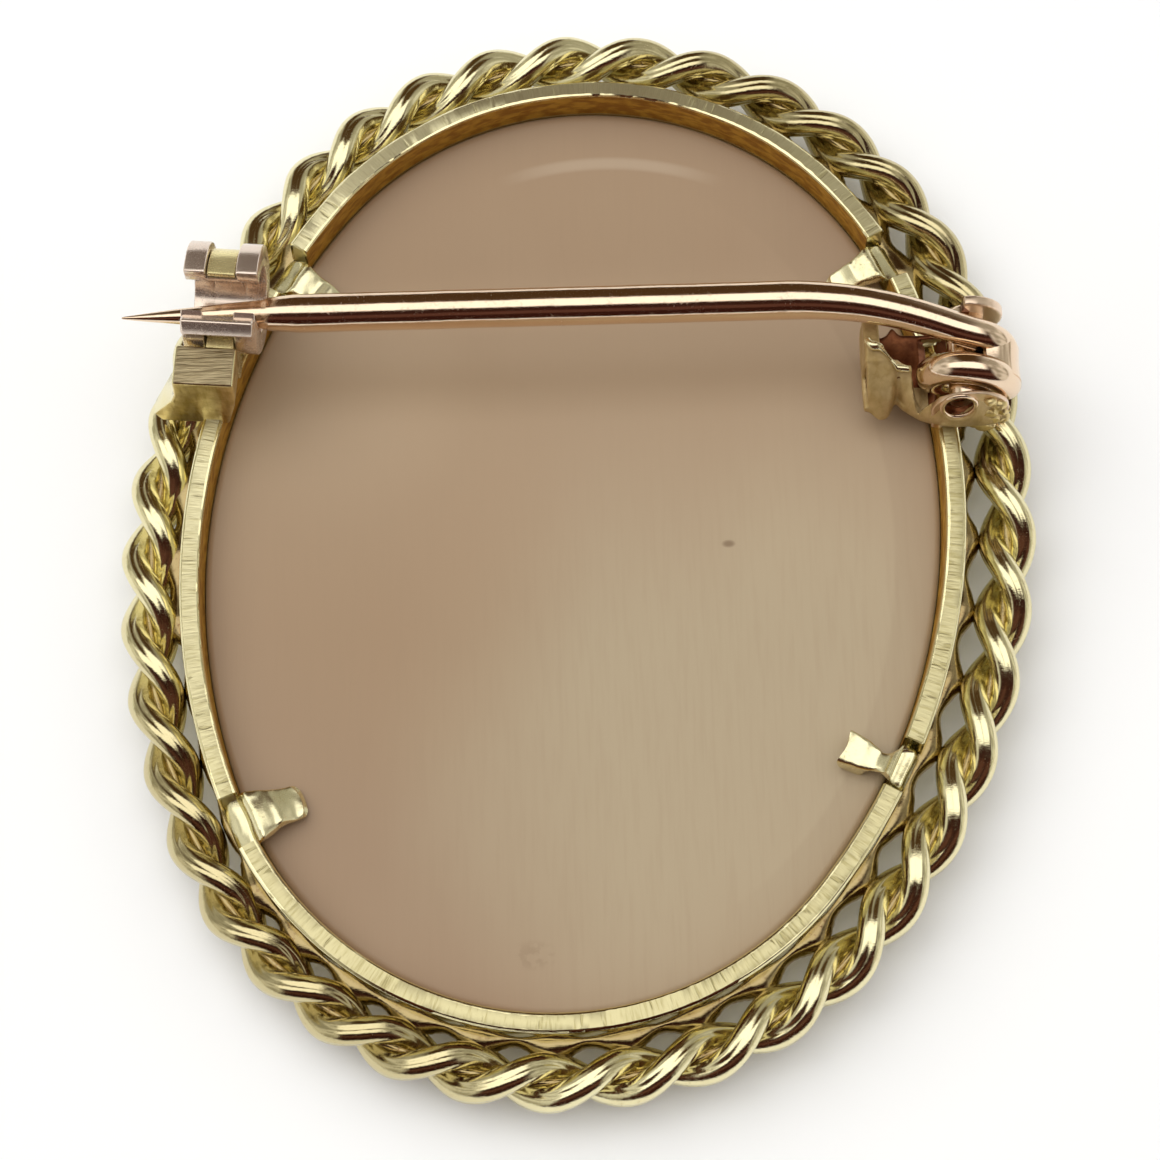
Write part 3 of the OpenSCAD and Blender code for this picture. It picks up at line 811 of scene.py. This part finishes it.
def carving(x, y):
    """Height of the rose and its leaves, from 0 to 1."""
    t = np.degrees(np.arctan2(y, x))
    s = np.hypot(x, y) / ROSE_R / (1 + 0.07 * np.cos(np.radians(5 * t + 30)))
    k = s * 3.6 - t / 360
    f = k - np.floor(k)
    soft = np.where(f > 0.9, (1 - f) / 0.1 * 0.9, f)
    rose = np.sqrt(np.clip(1 - s ** 4, 0, 1)) * (
        0.8 - 0.12 * s + 0.24 * (1 - s) * soft + 0.2 * (soft - 0.5) * np.minimum(1, 3 * s))
    height = np.where(s < 1, rose, 0)
    for lx, ly, turn, size in LEAVES:
        u, v = turned(x - lx, y - ly, -turn)
        u, v = u / size, v / (size * 0.42)
        w = np.clip(1 - u * u - v * v * (1.2 + 0.6 * u), 0, 1)
        vein = 0.62 - 0.2 * np.exp(-v * v * 30) + 0.06 * np.cos(np.radians(u * 900 + np.abs(v) * 300))
        height = np.maximum(height, np.where(np.abs(u) > 1, 0, np.sqrt(w) * vein))
    return height


def make_shell():
    """The plaque, in rings from the middle of its carved front over its edge to the middle of its hollow back."""
    ex, ey = oval(np.arange(300) * 360 / 300, -WALL_T - 0.06)
    rings = []

    def ring(share, z):
        x, y = turned(ex * share, ey * share, OVAL_TURN)
        rings.append(np.stack([x + SETTING_AT[0], y + SETTING_AT[1], z + 0 * x], -1))

    def front(share):
        return SEAT_Z + 0.05 - 0.32 * (1 - share * share)

    for s in np.linspace(0.004, 0.985, 110):
        ring(s, front(s) - RELIEF * carving(ex * s, ey * s))
    for s, z in ((0.996, front(1)), (1.0, front(1) + 0.03), (1.0, BACK_Z - 0.16), (0.9975, BACK_Z - 0.1),
                 (0.993, BACK_Z - 0.04), (0.986, BACK_Z - 0.005)):
        ring(s, z)
    for s in np.linspace(0.98, 0.004, 60):
        ring(s, BACK_Z - HOLLOW * np.interp(s, [0, 0.25, 0.5, 0.75, 0.9, 0.985], [1, 0.95, 0.75, 0.4, 0.15, 0]))
    piece("shell_plaque", outward(grid(rings, caps=True)), SHELL, "brooch", "cameo", 60)


# Pin

def coil_line(turns):
    """Middle line of the coil, a point for every 6 degrees."""
    k = np.arange(1, int(turns * 60) + 1)
    a = np.radians(90 - k * 6)
    y = np.maximum(HINGE_Y - COIL_STEP * np.minimum(k / 60, COIL_TURNS), COIL_END)
    return np.stack([HINGE_X + COIL_R * np.cos(a), y, HINGE_Z + COIL_R * np.sin(a)], -1)


def make_fill():
    """Solder that closes the groove between the coil's turns on its outer side."""
    rings = []
    for k in range(-2, 47):
        a = math.radians(62 - k * 3)
        turn = (90 - math.degrees(a)) / 360
        lo = max(HINGE_Y - COIL_STEP * (1 + turn), COIL_END)
        hi = HINGE_Y - COIL_STEP * turn
        end = math.sin(min(1.0, (k + 2.5) / 13, (46.5 - k) / 9) * math.pi / 2)
        y = np.linspace(lo, hi, 9)
        r_out = COIL_R + 0.12 + (COIL_D / 2 - 0.14) * end - 0.03 * np.sin(np.linspace(0, math.pi, 9))
        ring = [(r, yy) for r, yy in zip(r_out, y)] + [(COIL_R - 0.1, hi), (COIL_R - 0.1, lo)]
        rings.append([(HINGE_X + r * math.cos(a), yy, HINGE_Z + r * math.sin(a)) for r, yy in ring])
    return outward(grid(rings, caps=True))


def make_pin():
    """The pin as one wire: tapered tip, straight part, bend and coil, with the coil's solder."""
    shape = np.array([(TIP_X, 0.03), (TIP_X + 0.05, 0.05), (TIP_X + 1.0, 0.165), (TIP_X + 1.9, 0.26),
                      (TAPER_X - 1.2, 0.42), (TAPER_X, NECK_D / 2), (TAPER_X + 0.1, 0.56), (TAPER_X + 0.6, 0.62),
                      (TAPER_X + NECK_L, PIN_D / 2 - 0.01), (BEND_X, PIN_D / 2)])
    full_x = TAPER_X + NECK_L
    x = np.concatenate([np.linspace(TIP_X, full_x, 90), np.linspace(full_x + 0.4, BEND_X - 0.3, 34)])
    r = np.interp(x, *shape.T)
    for _ in range(2):
        r[1:-1] = (r[:-2] + 2 * r[1:-1] + r[2:]) / 4
    straight = np.stack([x, 0 * x + PIN_Y, 0 * x + PIN_Z], -1)
    t = np.linspace(0, 1, 36)
    bend = np.stack([BEND_X + t * (HINGE_X - BEND_X), PIN_Y - (PIN_Y - HINGE_Y) * t * t, PIN_Z + 0 * t], -1)
    coil = coil_line(COIL_TURNS)
    radii = np.concatenate([r, (PIN_D + (COIL_D - PIN_D) * t) / 2, np.full(len(coil), COIL_D / 2)])
    line = np.concatenate([straight, bend, coil])
    soft = len(line) - len(coil) - 12
    for _ in range(12):
        line[soft:-1] = (line[soft - 1:-2] + 2 * line[soft:-1] + line[soft + 1:]) / 4
    mesh = worked(outward(grid(tube(line, radii, 40), caps=True)), 1.6, 0.012, 4)
    mesh = joined(finished(mesh, bevel(0.1, 3, 60)), make_fill())
    piece("pin_wire", mesh, PINK, "pin", "pin_stem", 40)


# Safety catch

# These turn a prism's third axis to X, or to the other way along Y
ALONG = Matrix(((0, 0, 1, 0), (1, 0, 0, 0), (0, 1, 0, 0), (0, 0, 0, 1)))
ACROSS = Matrix(((1, 0, 0, 0), (0, 0, -1, 0), (0, 1, 0, 0), (0, 0, 0, 1)))


def catch_frame():
    return Matrix.Translation(Vector(CATCH_AT)) @ Matrix.Rotation(math.radians(CATCH_YAW), 4, "Z")


def slotted(r_out, r_in, slot):
    """Outline of a disc with a bore and a slot that opens upward, in the catch's own across and up."""
    def edges(r):
        lo, hi = (math.degrees(math.atan2(math.sqrt(max(r ** 2 - k ** 2, 0.0)), k))
                  for k in (SLOT_Y - slot / 2, SLOT_Y + slot / 2))
        return lo, hi + 360

    def arc(r, start, end):
        turns = np.linspace(start, end, int(abs(end - start) / 4) + 1)
        return [(r * math.cos(math.radians(a)), r * math.sin(math.radians(a))) for a in turns]

    return arc(r_out, *edges(r_out)) + arc(r_in, *edges(r_in)[::-1])


def make_rotor():
    """Slotted tube with two flanges and the lever that turns it."""
    half = ROTOR_W / 2
    thick = half - BODY_W / 2 - 0.05
    parts = [finished(prism(slotted(FLANGE_R, BORE_R, SLOT_W), low, high, ALONG), bevel(0.07, 3, 30))
             for low, high in ((-half, -half + thick), (half - thick, half))]
    middle = prism(slotted(TUBE_R, BORE_R + 0.01, SLOT_W + 0.02), -half + 0.1, half - 0.1, ALONG)
    parts.append(finished(middle, bevel(0.02, 1, 30)))
    lever = box((-half + 0.02, -0.3, RING_R + 0.07), (half - 0.02, 0.3, RING_R + 0.56))
    lever = finished(lever, bevel(0.1, 4, 30))
    lever.transform(Matrix.Rotation(math.radians(LEVER_TURN), 4, "X"))
    mesh = worked(joined(*parts, lever), 1.1, 0.012, 5)
    mesh.transform(catch_frame())
    piece("safety_rotor", mesh, ROTOR, "rotor", "catch_rotor", 28)


def make_catch_body():
    """Ring that the rotor turns in, the web beside it and the foot under it."""
    half = BODY_W / 2
    ring = finished(prism(slotted(RING_R, RING_IN, SLOT_W + 0.1), -half, half, ALONG), bevel(0.05, 3, 30))
    web = finished(box((-half, BLOCK_Y - 0.1, -2.3), (half, BLOCK_Y + 0.62, 0.34)), bevel(0.08, 3, 30))
    foot = box((-half, -1.0, RIM_Z - 0.2 - CATCH_AT[2]), (half, 1.0, RIM_Z + 1.42 - CATCH_AT[2]))
    mesh = worked(joined(ring, web, finished(foot, bevel(0.12, 3, 30))), 0.9, 0.015, 2)
    mesh.transform(catch_frame())
    piece("catch_ring", mesh, CATCH, "brooch", "setting", 30)


def make_catch_block():
    """Filed block on the catch's side, with a foot that flares on to the rim."""
    floor = RIM_Z - 0.35 - CATCH_AT[2]
    shape = [(-1.5, 0.4), (0.6, 0.4), (0.56, -0.9), (0.45, -1.6), (0.1, floor), (-2.3, floor), (-2.5, floor + 0.6),
             (-2.1, -1.9), (-1.75, -1.3), (-1.58, -0.7)]
    mesh = finished(outward(prism(shape, -BLOCK_Y, -BLOCK_Y + BLOCK_W, ACROSS)), bevel(0.1, 4, 25))

    def finish_of(face):
        """Filed on top, satin on the side and below, and polished on the rest."""
        if face.normal.y < -0.6 or face.normal.z < 0:
            return 2
        return int(face.normal.z > 0.9 and face.center.z > 0.3)

    finish = [finish_of(face) for face in mesh.polygons]
    for v in mesh.vertices:
        flare = max(0.0, -1.55 - v.co.x)
        v.co.y = BLOCK_Y - BLOCK_W + (v.co.y - BLOCK_Y + BLOCK_W) * (1 - 0.7 * flare)
    worked(mesh, 0.8, 0.02, 7)
    mesh.transform(catch_frame())
    piece("catch_block", mesh, GOLD, "brooch", "setting", 26, (BLOCK, FOOT), finish)


# Hinge

HOLE_X, HOLE_Z = HINGE_X - 0.42, HINGE_Z + 0.48  # middle of the opening in the lower ear


def loft(top, bottom, thick, bulge):
    """Curved sheet between two lines of points, thickened inward."""
    t = np.linspace(0, 1, 14)[:, None]
    swell = np.sin(t * math.pi) * bulge
    rings = []
    for a, b in zip(top, bottom):
        line = a * (1 - t) + b * t
        n = np.cross((b - a) / np.linalg.norm(b - a), [1.0, 0, 0])
        n /= np.linalg.norm(n)
        n = -n if n[1] > 0 else n
        rings.append(np.concatenate([line + n * swell, (line + n * swell * 0.5 - n * thick)[::-1]]))
    return outward(grid(rings, caps=True))


def resampled(points, n):
    """A line of n even steps, smoothed, through points whose x is measured from the joint box."""
    p = np.array(points, float) + (BOX_X, 0, 0)
    s = np.concatenate([[0], np.cumsum(np.linalg.norm(np.diff(p, axis=0), axis=1))])
    t = np.linspace(0, s[-1], n)
    q = np.stack([np.interp(t, s, p[:, k]) for k in range(3)], -1)
    for _ in range(2):
        q[1:-1] = (q[:-2] + 2 * q[1:-1] + q[2:]) / 4
    return q


def balls(places, stretch):
    """Stretched balls. Each place is x from the hinge's axis, y, z and the radius."""
    b = bmesh.new()
    for x, y, z, r in places:
        at = Matrix.Translation((HINGE_X + x, y, z)) @ Matrix.Diagonal((*stretch, 1))
        bmesh.ops.create_icosphere(b, subdivisions=4, radius=r, matrix=at)
    return mesh_of(b)


def turned_rod(x, z, profile, sides=48):
    """Solid round a line along Y. The profile is the place and the radius of each of its rings."""
    t = np.linspace(0, 2 * math.pi, sides, endpoint=False)
    rings = [np.stack([x + r * np.cos(t), y + 0 * t, z + r * np.sin(t)], -1) for y, r in profile]
    return outward(grid(rings, caps=True))


def ear_front(z):
    """The lower ear's front leans inward above the box."""
    return EAR_LO[0] - 0.02 + 0.2 * max(0.0, z - 4.6) / 1.8


def hole_rim(rx, rz, thick):
    """Rim of the opening in the sloping front of the lower ear."""
    rings = []
    for a in np.linspace(0, 2 * math.pi, 56, endpoint=False):
        x, z = HOLE_X + rx * math.cos(a), HOLE_Z + rz * math.sin(a)
        middle, out = np.array([x, ear_front(z), z]), np.array([math.cos(a), 0.0, math.sin(a)])
        rings.append([middle + thick * (math.cos(b) * out + np.array([0, -math.sin(b) * 0.8, 0]))
                      for b in np.linspace(0, 2 * math.pi, 14, endpoint=False)])
    return outward(grid(rings, close_rings=True))


def hinge_cuts():
    """The two cuts in box and ears: room for the coil and its bend, and the opening in the lower ear."""
    line = np.concatenate([[[HINGE_X - 0.5, HINGE_Y + 0.02, PIN_Z], [HINGE_X, HINGE_Y, PIN_Z]], coil_line(1.55)])
    coil = outward(grid(tube(line, np.full(len(line), COIL_D / 2 + 0.1), 24), caps=True))
    round_it = COIL_R + COIL_D / 2 + 0.08
    room = joined(coil, turned_rod(HINGE_X, HINGE_Z, [(EAR_LO[1] + 0.02, round_it), (EAR_HI[0] - 0.01, round_it)], 96))
    hole = turned_rod(HOLE_X, HOLE_Z, [(EAR_LO[0] - 0.8, 0.56), (EAR_LO[1] - 0.02, 0.56)])
    up = Matrix.Translation((0, 0, HOLE_Z))
    hole.transform(up @ Matrix.Diagonal((1, 1, 1.3, 1)) @ up.inverted())
    less = {"operation": "DIFFERENCE", "solver": "EXACT"}
    return ("BOOLEAN", {**less, "use_self": True, "object": room}), ("BOOLEAN", {**less, "object": hole})


def make_joint(cuts):
    """Joint box with its leaning cheek, flowed together with solder, and painted shade inside."""
    top = resampled([(0.02, 5.93, 5.72), (0.5, 5.8, 5.62), (0.82, 5.5, 5.42), (1.15, 5.16, 5.16), (1.6, 5.1, 5.16),
                     (1.85, 4.9, 5.34), (2.15, 4.3, 5.62), (2.5, 3.72, 5.9), (3.0, 3.6, 6.12), (3.6, 3.6, 6.14),
                     (4.2, 3.62, 5.85), (4.65, 3.66, 5.3), (4.85, 3.7, 4.7)], 72)
    low = resampled([(0.15, 4.1, 3.75), (0.5, 3.9, 3.6), (0.85, 3.92, 3.6), (1.22, 4.38, 3.62), (1.5, 4.05, 3.6),
                     (2.0, 3.72, 3.6), (2.7, 3.56, 3.6), (3.3, 3.5, 3.6), (4.0, 3.5, 3.62), (4.5, 3.6, 3.85)], 72)
    mesh = joined(
        loft(top, low, 0.3, 0.3), box((BOX_X, EAR_LO[0] + 0.7, BOX_Z), (BOX_X + 2.9, EAR_HI[0] + 0.2, BOX_Z + 0.35)),
        box((BOX_X, HINGE_Y - 0.55, BOX_Z), (BOX_X + 0.55, HINGE_Y + 1.15, PIN_Z - PIN_D / 2 - 0.3)))
    mesh = worked(melted(finished(melted(mesh, 0.05, 4), *cuts), 0.05, 3), 0.9, 0.03, 11)
    for v in mesh.vertices:
        x = v.co.x - BOX_X
        valley = 0.26 * math.exp(-((x - 1.15) / 0.16) ** 2) - 0.08 * math.exp(-((x - 0.6) / 0.3) ** 2)
        v.co.y += valley * min(1.0, max(0.0, (5.3 - v.co.z) / 0.6))

    # Faces inside the box get the painted shade.
    def inside(face):
        (x, y, z), n = face.center, face.normal
        return y > 4.9 and z < 4.9 and x > BOX_X + 0.12 and (n.z > 0.3 or n.x > 0.5 or n.y > 0.1)

    finish = [inside(face) for face in mesh.polygons]
    piece("pin_joint", mesh, CHEEK, "brooch", "setting", 0, (DARK,), finish)

    line = resampled([(0.08, 6.0, 5.7), (0.14, 5.86, 5.76), (0.5, 5.74, 5.7), (0.82, 5.44, 5.48), (1.12, 5.14, 5.24),
                      (1.5, 5.06, 5.24)], 60)
    share = np.linspace(0, 1, len(line))
    edge = outward(grid(tube(line, 0.12 + 0.05 * np.sin(share * 9) - 0.05 * share, 20), caps=True))
    piece("joint_edge", worked(edge, 0.35, 0.05, 2), CLAW, "brooch", "setting", 60)

    # Lumps on the box floor under the hinge, all in the painted-shade material.
    floor = balls([(-0.5, 4.3, 2.75, 0.6), (-0.4, 5.1, 2.7, 0.6), (-0.4, 5.9, 2.75, 0.6), (-0.5, 6.6, 2.75, 0.55),
                   (-1.4, 5.0, 3.0, 0.5), (-1.5, 5.8, 3.0, 0.5)], (1.0, 1.3, 0.5))
    piece("joint_floor", melted(floor, 0.06, 3), DARK, "brooch", "setting", 0)


def make_ears(cuts):
    """The two ears that hold the rivet, and the lumps of solder on the lower one."""
    frame = Matrix.Translation((HINGE_X, 0, 0)) @ ACROSS
    ears = []
    for y0, y1, left, stop in ((EAR_LO[0] + 0.06, EAR_LO[1], -1.2, 200), (EAR_HI[0] + 0.24, EAR_HI[1], -0.3, 96)):
        t = np.radians(np.arange(-60, stop, 5))
        outline = [(left, BOX_Z), (0.25, BOX_Z)] + [(EAR_R * math.cos(a), HINGE_Z + EAR_R * math.sin(a)) for a in t]
        ears.append(outward(prism(outline, -y1, -y0, frame)))
    mesh = melted(finished(melted(joined(*ears), 0.05, 3), *cuts), 0.05, 2)
    for v in mesh.vertices:
        if v.co.y < EAR_LO[1] - 0.05:
            v.co.y = max(v.co.y, ear_front(v.co.z) + 0.02)
    # The opening in the lower ear gets the painted shade.
    finish = [((face.center.x - HOLE_X) / 0.57) ** 2 + ((face.center.z - HOLE_Z) / 0.74) ** 2 < 1
              for face in mesh.polygons]
    piece("joint_ears", mesh, EAR, "brooch", "setting", 0, (DARK,), finish)

    lumps = balls([(0.62, 3.52, 5.95, 0.2), (0.95, 3.55, 5.6, 0.26), (0.7, 3.45, 5.15, 0.24), (1.15, 3.6, 5.0, 0.24),
                   (0.75, 3.42, 4.6, 0.3), (1.15, 3.6, 4.3, 0.3), (0.3, 3.42, 4.2, 0.26), (0.65, 3.46, 3.9, 0.32)],
                  (1.15, 0.8, 1.0))
    lumps = melted(lumps, 0.035, 3)
    for v in lumps.vertices:
        v.co += Vector((0, -1, 0.3)) * noise.noise(v.co / 0.16) * 0.09
        v.co.y = min(max(v.co.y, EAR_LO[0] - 0.12), EAR_LO[1] - 0.02)
    piece("joint_solder", lumps, SATIN, "brooch", "setting", 0)


def make_rivet():
    """The hollow rivet, riveted over at its upper end, with the rim of the opening at its lower end."""
    rivet = turned_rod(HINGE_X, HINGE_Z, [(EAR_LO[1] + 0.1, 0.3), (EAR_LO[1] + 0.1, RIVET_R),
                                          (EAR_HI[1] - 0.2, RIVET_R), (EAR_HI[1] - 0.05, 0.6), (EAR_HI[1], 0.4)])
    rivet = joined(finished(rivet, bevel(0.04, 2, 30)), hole_rim(0.58, 0.75, 0.1))
    piece("joint_rivet", rivet, PINK, "brooch", "setting", 40)


# Studio

PHOTO_PX, PX_PER_MM = 1160, 28.5


def make_camera():
    """Over the brooch, leaning towards its lower side and rolled a little, as the photo was taken."""
    lean, distance, roll = math.radians(18), 110.0, math.radians(-1.55)
    target = Vector((-0.005, -1.24, 2.0))
    back = Vector((0, -math.sin(lean), math.cos(lean)))
    level, rise = Vector((1, 0, 0)), Vector((0, math.cos(lean), math.sin(lean)))
    right = math.cos(roll) * level + math.sin(roll) * rise
    up = -math.sin(roll) * level + math.cos(roll) * rise
    data = bpy.data.cameras.new("camera")
    data.sensor_width = 36
    data.lens = 36 * PX_PER_MM * distance / PHOTO_PX
    data.clip_start, data.clip_end = 0.005, 20
    cam = bpy.data.objects.new("camera", data)
    cam.matrix_world = Matrix((*zip(right, up, back, (target + back * distance) * MM), (0, 0, 0, 1)))
    scene.collection.objects.link(cam)
    scene.camera = cam


def make_light(name, at, size, power):
    """Soft round lamp over the table, not mirrored in the gold."""
    data = bpy.data.lights.new(name, "AREA")
    data.shape, data.size, data.energy = "DISK", size, power
    o = bpy.data.objects.new(name, data)
    o.location = at
    o.rotation_euler = (Vector((0, 0, 0.002)) - Vector(at)).to_track_quat("-Z", "Y").to_euler()
    o.visible_glossy = False
    scene.collection.objects.link(o)


def make_world():
    """Bright room over the table, darker on the side that the picture is taken from."""
    scene.world = bpy.data.worlds.new("studio")
    t = Tree(scene.world)
    here = t.node("ShaderNodeTexCoord", out=0)
    x, y, z = parts_of(t, here)
    along, across = z.math("ARCTAN2", y, z), z.math("ARCTAN2", x, z)
    window = along.between(-0.36, -0.26) * (1.0 - along.between(0.36, 0.48)) * across.between(-1.0, -0.75) * (
        1.0 - across.between(0.35, 0.7))
    panels = t.node("ShaderNodeTexNoise", Vector=here, Scale=2.6, Detail=1.0)
    sides = (x * x + y.between(-0.1, 0.35) * 0.32).between(0.36, 0.6)
    glow = (1.0 - ((along + 0.9) * (along + 0.9)).between(0.0, 0.05)) * 0.8
    dark = t.mix(along.between(-0.1, 0.1), (0.035, 0.010, 0.006), (0.075, 0.040, 0.016))
    dark = t.mix(glow, dark, (0.13, 0.055, 0.04))
    wall = t.mix(panels.between(0.4, 0.6), (0.38, 0.36, 0.30), (0.78, 0.76, 0.70))
    light = t.mix(window, t.mix(sides, dark, wall), (1.55, 1.52, 1.46))
    t.node("ShaderNodeOutputWorld", Surface=t.node("ShaderNodeBackground", Color=light, Strength=1.0))


def make_stage():
    """Table of white card, and two lamps."""
    mesh = bpy.data.meshes.new("table")
    s = 1.5
    mesh.from_pydata([(-s, -s, 0), (s, -s, 0), (s, s, 0), (-s, s, 0)], [], [(0, 1, 2, 3)])
    t = new_tree("white_card")
    card = t.mix(grain(t, place(t), 0.02, 2.0), (0.955, 0.972, 0.99), (0.97, 0.985, 1.0))
    mesh.materials.append(surface(t, Base_Color=card, Roughness=0.9))
    floor = bpy.data.objects.new("table", mesh)
    scene.collection.objects.link(floor)
    make_light("window", (-0.3, 0.3, 0.5), 0.7, 1.4)
    make_light("ceiling", (0, 0.05, 0.6), 2.0, 4.0)


make_camera()
make_bezel()
for claw, (direction, reach) in CLAWS.items():
    make_claw(claw, direction, reach)
make_rope()
make_solder()
make_shell()
make_pin()
make_rotor()
make_catch_body()
make_catch_block()
hinge_room = hinge_cuts()
make_joint(hinge_room)
make_ears(hinge_room)
make_rivet()
make_world()
make_stage()
scene.view_settings.view_transform = "Standard"
